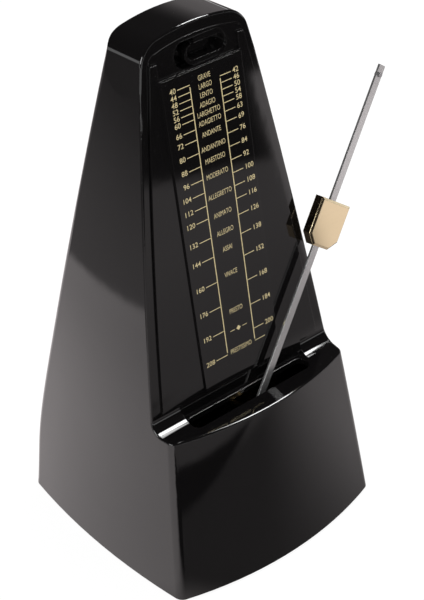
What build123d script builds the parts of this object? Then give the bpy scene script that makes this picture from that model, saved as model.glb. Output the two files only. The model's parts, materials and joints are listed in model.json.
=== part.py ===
"""Mechanical pyramid metronome with its front cover taken off, in millimetres.

+X is the object's right as seen from the front, -Y is the front, +Z is up.
The origin is the middle of the underside of the base plate, which is flush with
the lower edge of the case. The rubber feet reach FOOT_HEIGHT below it.
"""
import os
from math import atan2, cos, degrees, hypot, radians, sin, sqrt

from build123d import *

# ---------------------------------------------------------------- case sizes
CASE_HEIGHT = 216.9
BASE_HALF_WIDTH = 52.0
BASE_HALF_DEPTH = 46.75      # to the front corners
BASE_BACK_DEPTH = 48.9       # to the back corners
WALL = 2.5
CORNER_RADIUS = 4.0
SIDE_SLOPE = 0.0905          # half width lost per mm of height at the base
SIDE_CURVE = 0.000185        # further loss, with the square of the height
FRONT_SLOPE = 0.173
BACK_SLOPE = 0.148
BACK_BEND_LOW = 15.0         # the back is upright below this height
BACK_BEND_HIGH = 51.0        # and straight again above this one
FRONT_SAG = 8.45             # bulge of the front between its corners
SIDE_SAG = 3.8
BACK_SAG = 2.0
TOP_CORNER_DROP = 3.3        # how much lower the dome is at its corners
TOP_HALF_WIDTH = 22.4
TOP_SIDE_SLOPE = 0.21
TOP_CORNER_RADIUS = 10.5
TOP_TILT = 4.0               # the dome falls towards the back
TOP_SPARE = 6.0              # the pyramid is drawn this much too high, then cut to its dome
CASE_SECTIONS = 9            # even steps of height that shape the pyramid

# ------------------------------------------------ ledge, rim and front panel
LEDGE_HEIGHT = 68.6
LEDGE_FILLET = 6.0
EDGE_RADIUS = 0.8            # rounding of the ledge's front edge
LEAN = 0.19                  # the front leans back by this much per mm
RIM_REACH = 37.6             # how far in front of the axis the rim plane starts
PANEL_PROUD = 1.0            # the panel stands this far out of the rim
FLANGE = 1.8                 # thickness of the case rim behind its front face
PANEL_FLANGE = 1.6
PANEL_GAP = 0.15
RIM_LOW = 3.92               # width of the case rim beside the panel, at the ledge
RIM_MIDDLE = 3.2
RIM_TOP = 3.14
PANEL_MIDDLE_HEIGHT = 125.0
PANEL_TOP_DROP = 7.5         # from the top of the dome down to the opening's upper corners
PANEL_TOP_RISE = 3.0
PANEL_TOP_RADIUS = 4.0
PANEL_FOOT_SIDE = 1.0        # the panel's foot is this much wider than the slot, each side
PLATE_WIDTH = 38.0
PLATE_THICKNESS = 0.9
PLATE_BOTTOM = 74.5
PLATE_TOP_DROP = 16.5        # from the top of the dome down to the scale plate

# ------------------------------------------------------ pendulum rest at top
HOOK_SIDE = 0.2              # the housing is this much wider than the scale plate, each side
HOOK_SHOULDER_DROP = 10.1    # from the top of the dome down to the ends of the panel's arms
POCKET_LENGTH = 24.9
POCKET_WIDTH = 10.4
POCKET_DEPTH = 5.0
POCKET_FLOOR = 1.6
REAR_LAYER_GAP = 0.25        # between the rear layer of the front pieces and the case wall
POCKET_X = 1.9
POCKET_DROP = 11.2           # from the top of the dome down to the pocket's middle
HOOK_RIB = 1.1               # thickness of the hook's curl
HOOK_RADIUS = 3.9
HOOK_INSET = 5.5             # the curl starts this far into the pocket from its left end
HOOK_LIP = 1.8               # height of the lip along the pocket's lower edge
HOOK_BAR = 2.6               # height of the bar along its upper edge
HOOK_BAR_GAP = 1.0           # open gap between the curl's end and the bar
HOOK_RIGHT = 0.5
HOOK_BELOW = 0.6             # the hook stands back from the front face by this much
NOTCH_X = 2.4
NOTCH_WIDTH = 3.6            # notch under the hook that the parked rod lies in
NOTCH_HEIGHT = 0.9

# ------------------------------------------------------------- ledge opening
SLOT_LEFT = -31.5
SLOT_RIGHT = 29.0
SLOT_FRONT = -34.0
SLOT_BACK = -26.9
SLOT_RADIUS = 2.8

# ------------------------------------------------------------------ pendulum
PIVOT_BELOW_LEDGE = 9.7
ROD_PLANE_REACH = 43.0       # the rod swings in a plane parallel to the leaning front
REST_TILT = 36.1             # the rod stands still leaning to the right
ROD_WIDTH = 3.2
ROD_THICKNESS = 1.0
ROD_REACH = 144.9            # from the pivot to the upper end
ROD_BELOW_WEIGHT = 6.0       # the rod's lower end is this far below the counterweight's middle
STOP_INSET = 3.9             # from the stop to the rod's upper end
STOP_RADIUS = 0.9
STOP_LENGTH = 2.6
HUB_RADIUS = 4.0
HUB_LENGTH = 6.0
COUNTERWEIGHT_RADIUS = 11.0
COUNTERWEIGHT_THICKNESS = 9.0
COUNTERWEIGHT_ROOM = 11.9    # left under the counterweight, above the base plate's underside
COUNTERWEIGHT_CHAMFER = 0.6

# ------------------------------------------------------------ sliding weight
WEIGHT_AT = 79.3
WEIGHT_WIDTH = 16.8
WEIGHT_HEIGHT = 19.0
WEIGHT_FRONT = 3.2           # from the middle of the rod to the weight's front face
WEIGHT_BACK = 1.2
WEIGHT_CHAMFER = 4.0
WEIGHT_BEVEL = 0.8
ROD_CLEARANCE = 0.08
WEIGHT_SPRING_THICKNESS = 0.3
WEIGHT_SPRING_ROOM = 0.7

# ------------------------------------------------------------ base and feet
BASE_PLATE = 2.5
BASE_GAP = 0.15
FOOT_HEIGHT = 1.5
FOOT_RADIUS = 5.0
FOOT_PEG = 1.5
FOOT_EDGE = 0.3
FOOT_RECESS = 0.8            # the feet sit this deep in the base plate
FOOT_X = 41.0
FOOT_Y = 36.5
BOSS_RADIUS = 4.0
BOSS_HEIGHT = 14.0
BOSS_TOP_WALL = 2.0          # left above the screw's hole
BOSS_X = 28.0
BOSS_Y = 39.0
BOSS_RIB = 2.4
SCREW_RADIUS = 1.5
SCREW_HEAD_RADIUS = 2.8
SCREW_HEAD_HEIGHT = 1.4
SCREW_SLOT = 0.7
SCREW_TIP_GAP = 1.0          # between a screw's tip and the end of its hole

# ------------------------------------------------------------------ movement
FRAME_HALF = 21.0            # inner faces of the two movement plates
FRAME_PLATE = 1.8
FRAME_FRONT = -16.0
FRAME_BACK = 38.0
FRAME_ABOVE_PIVOT = 7.6      # the movement plates end this far above the pivot
BAR_SIZE = 6.0
BAR_TOP_WALL = 1.0
TAPPED_DEPTH = 5.0           # screw holes in the ends of the bars and pillars
PILLAR_RADIUS = 2.5
PILLAR_DROP = 20.0           # the front pillar is this far under the top of the plates
PILLAR_INSET = 4.5           # and this far behind their front edge
SMALL_SCREW = 1.2
SMALL_HEAD_RADIUS = 2.2
SMALL_HEAD_HEIGHT = 1.2
PIVOT_RADIUS = 0.8
ESCAPE_PIVOT_RADIUS = 0.6
SCREW_EDGE = 3.5             # from a screw's middle to the edge of a plate or strap
RUNNING_GAP = 0.05

MODULE = 0.5
TOOTH_ADDENDUM = 0.85
TOOTH_DEDENDUM = 1.2
TOOTH_TIP_SHARE = 0.10
TOOTH_ROOT_SHARE = 0.29
GREAT_TEETH = 76
SECOND_PINION_TEETH = 12
SECOND_TEETH = 68
ESCAPE_PINION_TEETH = 10
MESH_GAP = 0.05

BARREL_Y = 8.0
BARREL_HEIGHT = 30.0
BARREL_RADIUS = 14.0
BARREL_WALL = 1.0
BARREL_LEFT = -11.5
BARREL_RIGHT = 5.0
GREAT_WHEEL_WIDTH = 1.8
WINDING_RADIUS = 2.5
WINDING_CORE_RADIUS = 4.0
SPRING_STRIP = 0.5
SPRING_STEP = 0.8            # growth of the coil in half a turn
SPRING_HALF_TURNS = 9
SPRING_START = 4.7
SPRING_GAP = 0.3             # between the coil and the barrel's flat ends
END_SHAKE = 0.3              # free travel of an arbor between the movement plates

TRAIN_SHAFT = 1.2
PINION_LEFT = -15.4
PINION_WIDTH = 6.4
SECOND_WHEEL_LEFT = 12.0
WHEEL_WIDTH = 1.2
WHEEL_HOLES = 5
WHEEL_HOLE_SHARE = 0.27      # radius of a lightening hole, as a share of the pitch radius
WHEEL_HOLE_AT_SHARE = 0.55
WHEEL_HOLE_PHASE = 0.28      # turn of the holes, in steps between them
ESCAPE_PINION_LEFT = 10.2
ESCAPE_PINION_WIDTH = 4.8
CROWN_RADIUS = 9.0
CROWN_RIM = 1.5
CROWN_TIP = 3.2              # the tooth points lie this far beside the verge
CROWN_TOOTH = 2.8
CROWN_WEB = 1.2
CROWN_TEETH = 15
CROWN_GAP_STEEP = 0.36       # shares of the pitch that a tooth gap takes, either side
CROWN_GAP_TIP = 0.50
CROWN_GAP_ROOT = 0.20

VERGE_RADIUS = 1.0
VERGE_BACK = 12.8
PALLET_REACH = 2.6
PALLET_THICKNESS = 0.6
PALLET_WIDTH = 2.4
PALLET_ANGLE = 50.0
POTENCE_ABOVE = 5.1          # from the escape arbor up to the potence's bar
POTENCE_HEIGHT = 2.8
POTENCE_TAB = 1.6
POTENCE_TAB_HEIGHT = 6.0
POTENCE_FRONT = -2.5
POTENCE_FINGER = 1.0
POTENCE_FINGER_X = 1.5
POTENCE_FINGER_HALF = 1.5
BEARING_HALF = 3.0
BEARING_THICKNESS = 2.0
BRIDGE_THICKNESS = 1.8
BRIDGE_BELOW_PIVOT = 8.4
BRIDGE_TAB = 9.0

# -------------------------------------------------------- winding and ratchet
RATCHET_TEETH = 24
RATCHET_RADIUS = 9.0
RATCHET_DEPTH = 1.5
RATCHET_WIDTH = 1.8
RATCHET_OFF_PLATE = 0.6
CLICK_PIVOT_RADIUS = 15.0
CLICK_PIVOT_ANGLE = 205.0
CLICK_NOSE_ANGLE = 150.0
CLICK_WIDTH = 3.0
CLICK_EYE = 2.6
CLICK_GAP = 0.15
CLICK_SPRING_STRIP = 0.4
CLICK_SPRING_BLOCK = 4.4
CLICK_SPRING_OUT = 5.0       # the block lies this much further out than the click's pivot
CLICK_SPRING_TURN = 8.0      # and this many degrees past its nose
CLICK_CROWN_TURN = 2.0       # corners of the click, in degrees past its nose
CLICK_INNER_TURN = 9.0
CLICK_SPRING_TOUCH = 0.2     # share of the click's back, from its crown, where the leaf bears
BUSH_RADIUS = 6.0
BUSH_BODY_RADIUS = 4.6
BUSH_PROUD = 1.2
BUSH_SEAT_DEPTH = 0.9        # flat seat cut into the curved wall
KEY_GAP = 1.0
KEY_COLLAR_RADIUS = 3.6
KEY_COLLAR_LENGTH = 6.0
KEY_BOW_LENGTH = 11.0
KEY_BOW_WIDTH = 20.0
KEY_BOW_CORNER = 4.4
KEY_BOW_THICKNESS = 2.6

# ------------------------------------------------------------- shared places
PANEL_TOP_HEIGHT = CASE_HEIGHT - PANEL_TOP_DROP
PLATE_TOP = CASE_HEIGHT - PLATE_TOP_DROP
HOOK_SHOULDER = CASE_HEIGHT - HOOK_SHOULDER_DROP
POCKET_HEIGHT = CASE_HEIGHT - POCKET_DROP
HOOK_HALF_WIDTH = PLATE_WIDTH / 2 + HOOK_SIDE
PANEL_REACH = RIM_REACH + PANEL_PROUD
PLATE_REACH = PANEL_REACH + PLATE_THICKNESS
FLANGE_REACH = RIM_REACH - FLANGE
PANEL_BACK_REACH = FLANGE_REACH - PANEL_FLANGE
BEYOND = 240.0               # a length that is longer than the whole object
BELOW = -1.0                 # where hollows start, under the lower edge of the case
LEAN_ANGLE = degrees(atan2(LEAN, 1))
PIVOT_HEIGHT = LEDGE_HEIGHT - PIVOT_BELOW_LEDGE
PIVOT = Vector(0, LEAN * PIVOT_HEIGHT - ROD_PLANE_REACH, PIVOT_HEIGHT)
FRAME_TOP = PIVOT_HEIGHT + FRAME_ABOVE_PIVOT
BRIDGE_LOW = PIVOT_HEIGHT - BRIDGE_BELOW_PIVOT
COUNTERWEIGHT_AT = PIVOT_HEIGHT - COUNTERWEIGHT_RADIUS - COUNTERWEIGHT_ROOM
ROD_BELOW = COUNTERWEIGHT_AT + ROD_BELOW_WEIGHT
STOP_AT = ROD_REACH - STOP_INSET


# ------------------------------------------------------------------- helpers
def round_bar(radius, start, end):
    """Cylinder from one point to another."""
    start = Vector(*start)
    along = Vector(*end) - start
    return extrude(Plane(origin=start, z_dir=along) * Circle(radius), amount=along.length)


def bar_x(radius, x0, x1, y, z):
    return round_bar(radius, (x0, y, z), (x1, y, z))


def verge_height(y):
    """Height of the line that the pendulum swings about, square to the leaning front."""
    return PIVOT_HEIGHT - LEAN * (y - PIVOT.Y)


def bar_y(radius, y0, y1):
    """Bar along the line that the pendulum swings about."""
    return round_bar(radius, (0, y0, verge_height(y0)), (0, y1, verge_height(y1)))


def bar_z(radius, z0, z1, x, y):
    return round_bar(radius, (x, y, z0), (x, y, z1))


def prism_x(outline, x0, x1):
    """Outline drawn in (y, z), pushed along X from x0 to x1."""
    plane = Plane(origin=(x0, 0, 0), x_dir=(0, 1, 0), z_dir=(1, 0, 0))
    return extrude(plane * outline, amount=x1 - x0, dir=plane.z_dir)


def prism_y(outline, y0, y1):
    """Outline drawn in (x, z), filling Y from y0 to y1."""
    plane = Plane(origin=(0, y1, 0), x_dir=(1, 0, 0), z_dir=(0, -1, 0))
    return extrude(plane * outline, amount=y1 - y0, dir=plane.z_dir)


def block(x0, x1, y0, y1, z0, z1):
    return Pos((x0 + x1) / 2, (y0 + y1) / 2, (z0 + z1) / 2) * Box(x1 - x0, y1 - y0, z1 - z0)


def polygon(points):
    return Polygon(*points, align=None)


def lean_y(reach, z):
    """Y of the leaning plane that starts at -reach, at a height."""
    return -(reach - LEAN * z)


def slab(front_reach, back_reach, z0, z1, half_width=BEYOND / 2):
    """The leaning layer between two planes parallel to the front."""
    outline = polygon([
        (lean_y(front_reach, z0), z0),
        (lean_y(back_reach, z0), z0),
        (lean_y(back_reach, z1), z1),
        (lean_y(front_reach, z1), z1),
    ])
    return prism_x(outline, -half_width, half_width)


# ---------------------------------------------------------------- case shape
def half_width_at(z):
    return BASE_HALF_WIDTH - SIDE_SLOPE * z - SIDE_CURVE * z * z


def front_at(z):
    return BASE_HALF_DEPTH - FRONT_SLOPE * z


def back_at(z):
    if z <= BACK_BEND_LOW:
        return BASE_BACK_DEPTH
    if z >= BACK_BEND_HIGH:
        return BASE_BACK_DEPTH - BACK_SLOPE * (z - (BACK_BEND_LOW + BACK_BEND_HIGH) / 2)
    bend = BACK_BEND_HIGH - BACK_BEND_LOW
    return BASE_BACK_DEPTH - BACK_SLOPE * (z - BACK_BEND_LOW) ** 2 / (2 * bend)


def side_sag_at(z):
    depth_share = (front_at(z) + back_at(z)) / (BASE_HALF_DEPTH + BASE_BACK_DEPTH)
    return SIDE_SAG * depth_share ** 2


def side_at(y, z):
    """Outer half width at a depth and height, with the bulge of the side."""
    middle = (back_at(z) - front_at(z)) / 2
    half_depth = (back_at(z) + front_at(z)) / 2
    return half_width_at(z) + side_sag_at(z) * (1 - ((y - middle) / half_depth) ** 2)


def case_section(z, inset):
    """Cushion-shaped horizontal section of the case."""
    half_width = half_width_at(z) - inset
    front = -front_at(z) + inset
    back = back_at(z) - inset
    width_share = half_width_at(z) / BASE_HALF_WIDTH
    corners = [(-half_width, front), (half_width, front), (half_width, back), (-half_width, back)]
    side_middle = half_width + side_sag_at(z)
    middles = [
        (0, front - FRONT_SAG * width_share),
        (side_middle, (front + back) / 2),
        (0, back + BACK_SAG * width_share),
        (-side_middle, (front + back) / 2),
    ]
    edges = Curve() + [
        ThreePointArc(corners[i], middles[i], corners[(i + 1) % 4]) for i in range(4)
    ]
    outline = make_face(edges)
    outline = fillet(outline.vertices(), max(CORNER_RADIUS - inset, 1.0))
    return Pos(0, 0, z) * outline


def under_dome(inset):
    """Everything below the domed top, which falls a little towards the back."""
    low = -BEYOND / 4
    top = CASE_HEIGHT - inset
    corner_height = top - TOP_CORNER_DROP
    top_half = TOP_HALF_WIDTH - inset + TOP_CORNER_DROP / 2
    low_half = top_half + TOP_SIDE_SLOPE * (corner_height - low)
    edges = Curve() + [
        Line((-low_half, low), (low_half, low)),
        Line((low_half, low), (top_half, corner_height)),
        ThreePointArc((top_half, corner_height), (0, top), (-top_half, corner_height)),
        Line((-top_half, corner_height), (-low_half, low)),
    ]
    outline = make_face(edges)
    upper = outline.vertices().sort_by(Axis.Y)[-2:]
    outline = fillet(upper, TOP_CORNER_RADIUS - inset)
    front_top = Axis((0, lean_y(RIM_REACH, CASE_HEIGHT), CASE_HEIGHT), (1, 0, 0))
    return prism_y(outline, -BEYOND / 2, BEYOND / 2).rotate(front_top, -TOP_TILT)


def case_body(inset, low):
    """The whole pyramid, before its front is cut back."""
    top = CASE_HEIGHT + TOP_SPARE
    step = (top - low) / CASE_SECTIONS
    pyramid = loft([case_section(low + i * step, inset) for i in range(CASE_SECTIONS + 1)])
    return pyramid & under_dome(inset)


def front_space(reach, ledge, radius):
    """The space in front of the leaning face and above the ledge."""
    corner = (lean_y(reach, ledge), ledge)
    outline = polygon([
        (-BEYOND / 2, ledge),
        corner,
        (lean_y(reach, BEYOND), BEYOND),
        (-BEYOND / 2, BEYOND),
    ])
    if radius:
        outline = fillet(outline.vertices().sort_by_distance((*corner, 0))[0], radius)
    return prism_x(outline, -BEYOND / 2, BEYOND / 2)


def panel_outline(inset=0.0):
    """Opening in the case front, seen from the front."""
    ledge = LEDGE_HEIGHT + inset
    low = ledge + LEDGE_FILLET
    foot_half = (SLOT_RIGHT - SLOT_LEFT) / 2 + PANEL_FOOT_SIDE - inset
    half_low = half_width_at(LEDGE_HEIGHT + LEDGE_FILLET) - RIM_LOW - inset
    half_middle = half_width_at(PANEL_MIDDLE_HEIGHT) - RIM_MIDDLE - inset
    half_top = half_width_at(PANEL_TOP_HEIGHT) - RIM_TOP - inset
    top = PANEL_TOP_HEIGHT - inset
    edges = Curve()
    for side in (-1, 1):
        edges += [
            ThreePointArc(
                (side * half_low, low),
                (side * half_middle, PANEL_MIDDLE_HEIGHT),
                (side * half_top, top),
            ),
            Line((side * half_low, low), (side * foot_half, low)),
            Line((side * foot_half, low), (side * foot_half, ledge)),
        ]
    edges += [
        Line((-foot_half, ledge), (foot_half, ledge)),
        ThreePointArc((-half_top, top), (0, top + PANEL_TOP_RISE), (half_top, top)),
    ]
    outline = make_face(edges)
    return fillet(outline.vertices().sort_by(Axis.Y)[-2:], PANEL_TOP_RADIUS)


def slot_outline():
    length = SLOT_RIGHT - SLOT_LEFT
    depth = SLOT_BACK - SLOT_FRONT
    shape = RectangleRounded(length, depth, SLOT_RADIUS)
    return Pos((SLOT_LEFT + SLOT_RIGHT) / 2, (SLOT_FRONT + SLOT_BACK) / 2) * shape


def hook_zone(gap):
    """Area at the top of the opening that holds the pendulum rest."""
    half = HOOK_HALF_WIDTH - gap
    low = PLATE_TOP + gap
    shoulder = HOOK_SHOULDER + gap
    wide = BASE_HALF_WIDTH
    return polygon([
        (-half, low), (half, low), (half, shoulder), (wide, shoulder),
        (wide, CASE_HEIGHT), (-wide, CASE_HEIGHT), (-wide, shoulder), (-half, shoulder),
    ])


def boss_places():
    return [(x, y) for x in (-BOSS_X, BOSS_X) for y in (-BOSS_Y, BOSS_Y)]


def make_case_shell():
    outer = case_body(0, 0)
    outer_front = front_space(RIM_REACH, LEDGE_HEIGHT, LEDGE_FILLET)
    shell = outer - outer_front
    ledge_edge = shell.edges().filter_by(
        lambda edge: abs(edge.center().Z - LEDGE_HEIGHT) < 0.01
        and edge.center().Y < SLOT_FRONT - WALL
        and edge.length > BASE_HALF_WIDTH
    )
    shell = fillet(ledge_edge, EDGE_RADIUS)
    hollow = case_body(WALL, BELOW) - front_space(FLANGE_REACH, LEDGE_HEIGHT - WALL, 0)
    shell -= hollow
    in_front = front_space(PANEL_BACK_REACH - PANEL_GAP, LEDGE_HEIGHT, 0)
    shell -= prism_y(panel_outline(), -BEYOND / 2, BEYOND / 2) & in_front
    shell -= extrude(Pos(0, 0, LEDGE_HEIGHT - 2 * WALL) * slot_outline(), amount=2 * WALL + LEDGE_FILLET)
    for x, y in boss_places():
        past_wall = BASE_BACK_DEPTH + BACK_SAG if y > 0 else -BASE_HALF_DEPTH - FRONT_SAG
        boss = bar_z(BOSS_RADIUS, BASE_PLATE, BOSS_HEIGHT, x, y)
        rib_low, rib_high = sorted((y, past_wall))
        boss += block(x - BOSS_RIB / 2, x + BOSS_RIB / 2, rib_low, rib_high, BASE_PLATE, BOSS_HEIGHT)
        shell += boss & case_body(WALL / 2, 0)
        shell -= bar_z(SCREW_RADIUS, BASE_PLATE - 1, BOSS_HEIGHT - BOSS_TOP_WALL, x, y)
    shell -= bar_x(BUSH_BODY_RADIUS, FRAME_HALF * 2, BASE_HALF_WIDTH * 2, BARREL_Y, BARREL_HEIGHT)
    shell -= bar_x(BUSH_RADIUS + BASE_GAP, bush_seat(), BASE_HALF_WIDTH * 2, BARREL_Y, BARREL_HEIGHT)
    return shell


def rear_flange():
    """Layer of the front pieces that bears on the back of the rim."""
    layer = slab(FLANGE_REACH - RUNNING_GAP, PANEL_BACK_REACH, LEDGE_HEIGHT, BEYOND)
    return case_body(WALL + REAR_LAYER_GAP, BELOW) & layer


def make_front_panel():
    face = panel_outline(PANEL_GAP)
    front = prism_y(face, -BEYOND / 2, BEYOND / 2) & slab(PANEL_REACH, PANEL_BACK_REACH, 0, BEYOND)
    panel = front + rear_flange()
    return panel - prism_y(hook_zone(0), -BEYOND / 2, BEYOND / 2)


def make_scale_plate():
    return slab(PLATE_REACH, PANEL_REACH, PLATE_BOTTOM, PLATE_TOP, PLATE_WIDTH / 2)


def make_pendulum_rest():
    """Housing at the top of the front, with the pocket for the rod's end."""
    zone = prism_y(hook_zone(PANEL_GAP), -BEYOND / 2, BEYOND / 2)
    face = panel_outline(PANEL_GAP)
    front = prism_y(face, -BEYOND / 2, BEYOND / 2) & slab(RIM_REACH, PANEL_BACK_REACH, 0, BEYOND)
    housing = (front + rear_flange()) & zone
    pocket_at = Pos(POCKET_X, POCKET_HEIGHT)
    pocket = SlotOverall(POCKET_LENGTH, POCKET_WIDTH)
    cup = pocket_at * SlotOverall(POCKET_LENGTH + 2 * POCKET_FLOOR, POCKET_WIDTH + 2 * POCKET_FLOOR)
    pocket_back = RIM_REACH - POCKET_DEPTH
    cup_body = prism_y(cup, -BEYOND / 2, BEYOND / 2)
    housing += cup_body & slab(PANEL_BACK_REACH, pocket_back - POCKET_FLOOR, 0, BEYOND)
    hollow = slab(BEYOND / 4, pocket_back, 0, BEYOND)
    housing -= prism_y(pocket_at * pocket, -BEYOND / 2, BEYOND / 2) & hollow
    hook_body = prism_y(pocket_at * hook_outline(pocket), -BEYOND / 2, BEYOND / 2)
    housing += hook_body & slab(RIM_REACH - HOOK_BELOW, pocket_back, 0, BEYOND)
    half_notch = NOTCH_WIDTH / 2
    notch_top = PLATE_TOP + PANEL_GAP + NOTCH_HEIGHT
    notch = block(NOTCH_X - half_notch, NOTCH_X + half_notch, -BEYOND, BEYOND, PLATE_TOP, notch_top)
    return housing - (notch & slab(BEYOND / 4, RIM_REACH - HOOK_BELOW, 0, BEYOND))


def hook_outline(pocket):
    """Hook for the rod's end inside the pocket, about the pocket's middle."""
    half_length = POCKET_LENGTH / 2
    half_width = POCKET_WIDTH / 2
    curl_x = -half_length + HOOK_INSET + HOOK_RADIUS
    curl_z = -half_width + HOOK_RADIUS
    hole_low = -half_width + HOOK_LIP
    hole_high = half_width - HOOK_BAR
    hole_left = curl_x - HOOK_RADIUS + HOOK_RIB
    hole_right = half_length - HOOK_RIGHT
    hole = SlotOverall(hole_right - hole_left, hole_high - hole_low)
    hole_at = Pos((hole_left + hole_right) / 2, (hole_low + hole_high) / 2)
    right_of_curl = polygon([
        (curl_x, -half_width), (half_length, -half_width), (half_length, half_width),
        (curl_x + HOOK_BAR_GAP, half_width), (curl_x + HOOK_BAR_GAP, curl_z), (curl_x, curl_z),
    ])
    return (pocket & (right_of_curl + Pos(curl_x, curl_z) * Circle(HOOK_RADIUS))) - hole_at * hole


# ------------------------------------------------------------ base and feet
def foot_places():
    return [(x, y) for x in (-FOOT_X, FOOT_X) for y in (-FOOT_Y, FOOT_Y)]


def movement_screw_places():
    return [(x, y) for x in (-FRAME_HALF / 2, FRAME_HALF / 2) for y in bar_centres()]


def bar_centres():
    return (FRAME_FRONT + BAR_SIZE, FRAME_BACK - BAR_SIZE)


def make_base_plate():
    half = BASE_HALF_WIDTH * 2
    plate = case_body(WALL + BASE_GAP, BELOW) & block(-half, half, -half, half, 0, BASE_PLATE)
    for x, y in foot_places():
        plate -= bar_z(FOOT_PEG, -1, BASE_PLATE + 1, x, y)
        plate -= bar_z(FOOT_RADIUS + BASE_GAP, -1, FOOT_RECESS, x, y)
    for x, y in boss_places():
        plate -= bar_z(SCREW_RADIUS, -1, BASE_PLATE + 1, x, y)
        plate -= bar_z(SCREW_HEAD_RADIUS, -1, SCREW_HEAD_HEIGHT, x, y)
    for x, y in movement_screw_places():
        plate -= bar_z(SMALL_SCREW, -1, BASE_PLATE + 1, x, y)
        plate -= bar_z(SMALL_HEAD_RADIUS, -1, SMALL_HEAD_HEIGHT, x, y)
    return plate


def make_feet():
    feet = []
    for x, y in foot_places():
        pad = bar_z(FOOT_RADIUS, -FOOT_HEIGHT, FOOT_RECESS, x, y)
        pad = chamfer(pad.edges().group_by(Axis.Z)[0], FOOT_EDGE)
        feet.append(pad + bar_z(FOOT_PEG, FOOT_RECESS, BASE_PLATE, x, y))
    return feet


def screw_up(x, y, radius, head_radius, head_height, length):
    """Slotted screw driven up from the underside of the base plate."""
    head = bar_z(head_radius, 0, head_height, x, y)
    half_slot = SCREW_SLOT / 2
    head -= block(x - head_radius, x + head_radius, y - half_slot, y + half_slot, -1, SCREW_SLOT)
    return head + bar_z(radius, head_height, head_height + length, x, y)


def make_base_screws():
    length = BOSS_HEIGHT - BOSS_TOP_WALL - SCREW_TIP_GAP - SCREW_HEAD_HEIGHT
    return [
        screw_up(x, y, SCREW_RADIUS, SCREW_HEAD_RADIUS, SCREW_HEAD_HEIGHT, length)
        for x, y in boss_places()
    ]


def make_movement_screws():
    length = BASE_PLATE + BAR_SIZE - BAR_TOP_WALL - SMALL_HEAD_HEIGHT
    return [
        screw_up(x, y, SMALL_SCREW, SMALL_HEAD_RADIUS, SMALL_HEAD_HEIGHT, length)
        for x, y in movement_screw_places()
    ]


# ------------------------------------------------------------ movement frame
BARREL_AT = (BARREL_Y, BARREL_HEIGHT)
ESCAPE_AT = (0.0, verge_height(0.0))


def mesh_distance(teeth_a, teeth_b):
    return MODULE * (teeth_a + teeth_b) / 2 + MESH_GAP


def second_arbor_place():
    """Third corner of the triangle of shafts, on the side of the back."""
    to_barrel = mesh_distance(GREAT_TEETH, SECOND_PINION_TEETH)
    to_escape = mesh_distance(SECOND_TEETH, ESCAPE_PINION_TEETH)
    dy = ESCAPE_AT[0] - BARREL_AT[0]
    dz = ESCAPE_AT[1] - BARREL_AT[1]
    apart = hypot(dy, dz)
    along = (to_barrel ** 2 - to_escape ** 2 + apart ** 2) / (2 * apart)
    aside = sqrt(to_barrel ** 2 - along ** 2)
    y = BARREL_AT[0] + (dy * along + dz * aside) / apart
    z = BARREL_AT[1] + (dz * along - dy * aside) / apart
    return (y, z)


SECOND_AT = second_arbor_place()


def angle_between(start, end):
    return degrees(atan2(end[1] - start[1], end[0] - start[0]))


def pillar_places():
    front = (FRAME_FRONT + PILLAR_INSET, FRAME_TOP - PILLAR_DROP)
    return (front, (FRAME_BACK - SCREW_EDGE, FRAME_TOP - SCREW_EDGE))


def frame_outline():
    low = BASE_PLATE
    return polygon([
        (FRAME_FRONT, low), (FRAME_BACK, low), (FRAME_BACK, FRAME_TOP),
        (FRAME_FRONT, FRAME_TOP),
    ])


def plate_screw_places():
    low = BASE_PLATE + BAR_SIZE / 2
    return [(y, low) for y in bar_centres()] + list(pillar_places())


def bridge_screw_places():
    y = FRAME_FRONT + BRIDGE_TAB / 2
    return ((y, BRIDGE_LOW + SCREW_EDGE), (y, FRAME_TOP - SCREW_EDGE))


def make_movement_plate(side):
    x0, x1 = sorted((side * FRAME_HALF, side * (FRAME_HALF + FRAME_PLATE)))
    plate = prism_x(frame_outline(), x0, x1)
    holes = [
        (BARREL_AT, WINDING_RADIUS + RUNNING_GAP),
        (SECOND_AT, PIVOT_RADIUS + RUNNING_GAP),
    ]
    holes += [(place, SMALL_SCREW) for place in plate_screw_places()]
    holes += [(place, SMALL_SCREW) for place in bridge_screw_places()]
    if side > 0:
        holes.append((ESCAPE_AT, PIVOT_RADIUS + RUNNING_GAP))
        holes.append((click_pivot(), SMALL_SCREW))
        holes.append((click_spring_place(), SMALL_SCREW))
    else:
        holes += [(place, SMALL_SCREW) for place in potence_screw_places()]
    for (y, z), radius in holes:
        plate -= bar_x(radius, x0 - 1, x1 + 1, y, z)
    return plate


def make_lower_bars():
    bars = []
    for y in bar_centres():
        half = BAR_SIZE / 2
        top = BASE_PLATE + BAR_SIZE
        bar = block(-FRAME_HALF, FRAME_HALF, y - half, y + half, BASE_PLATE, top)
        for x in (-FRAME_HALF / 2, FRAME_HALF / 2):
            bar -= bar_z(SMALL_SCREW, BASE_PLATE - 1, top - BAR_TOP_WALL, x, y)
        bars.append(tapped_ends(bar, y, BASE_PLATE + BAR_SIZE / 2))
    return bars


def tapped_ends(bar, y, z):
    inner = FRAME_HALF - TAPPED_DEPTH
    bar -= bar_x(SMALL_SCREW, -FRAME_HALF - 1, -inner, y, z)
    return bar - bar_x(SMALL_SCREW, inner, FRAME_HALF + 1, y, z)


def make_upper_pillars():
    return [
        tapped_ends(bar_x(PILLAR_RADIUS, -FRAME_HALF, FRAME_HALF, y, z), y, z)
        for y, z in pillar_places()
    ]


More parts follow.
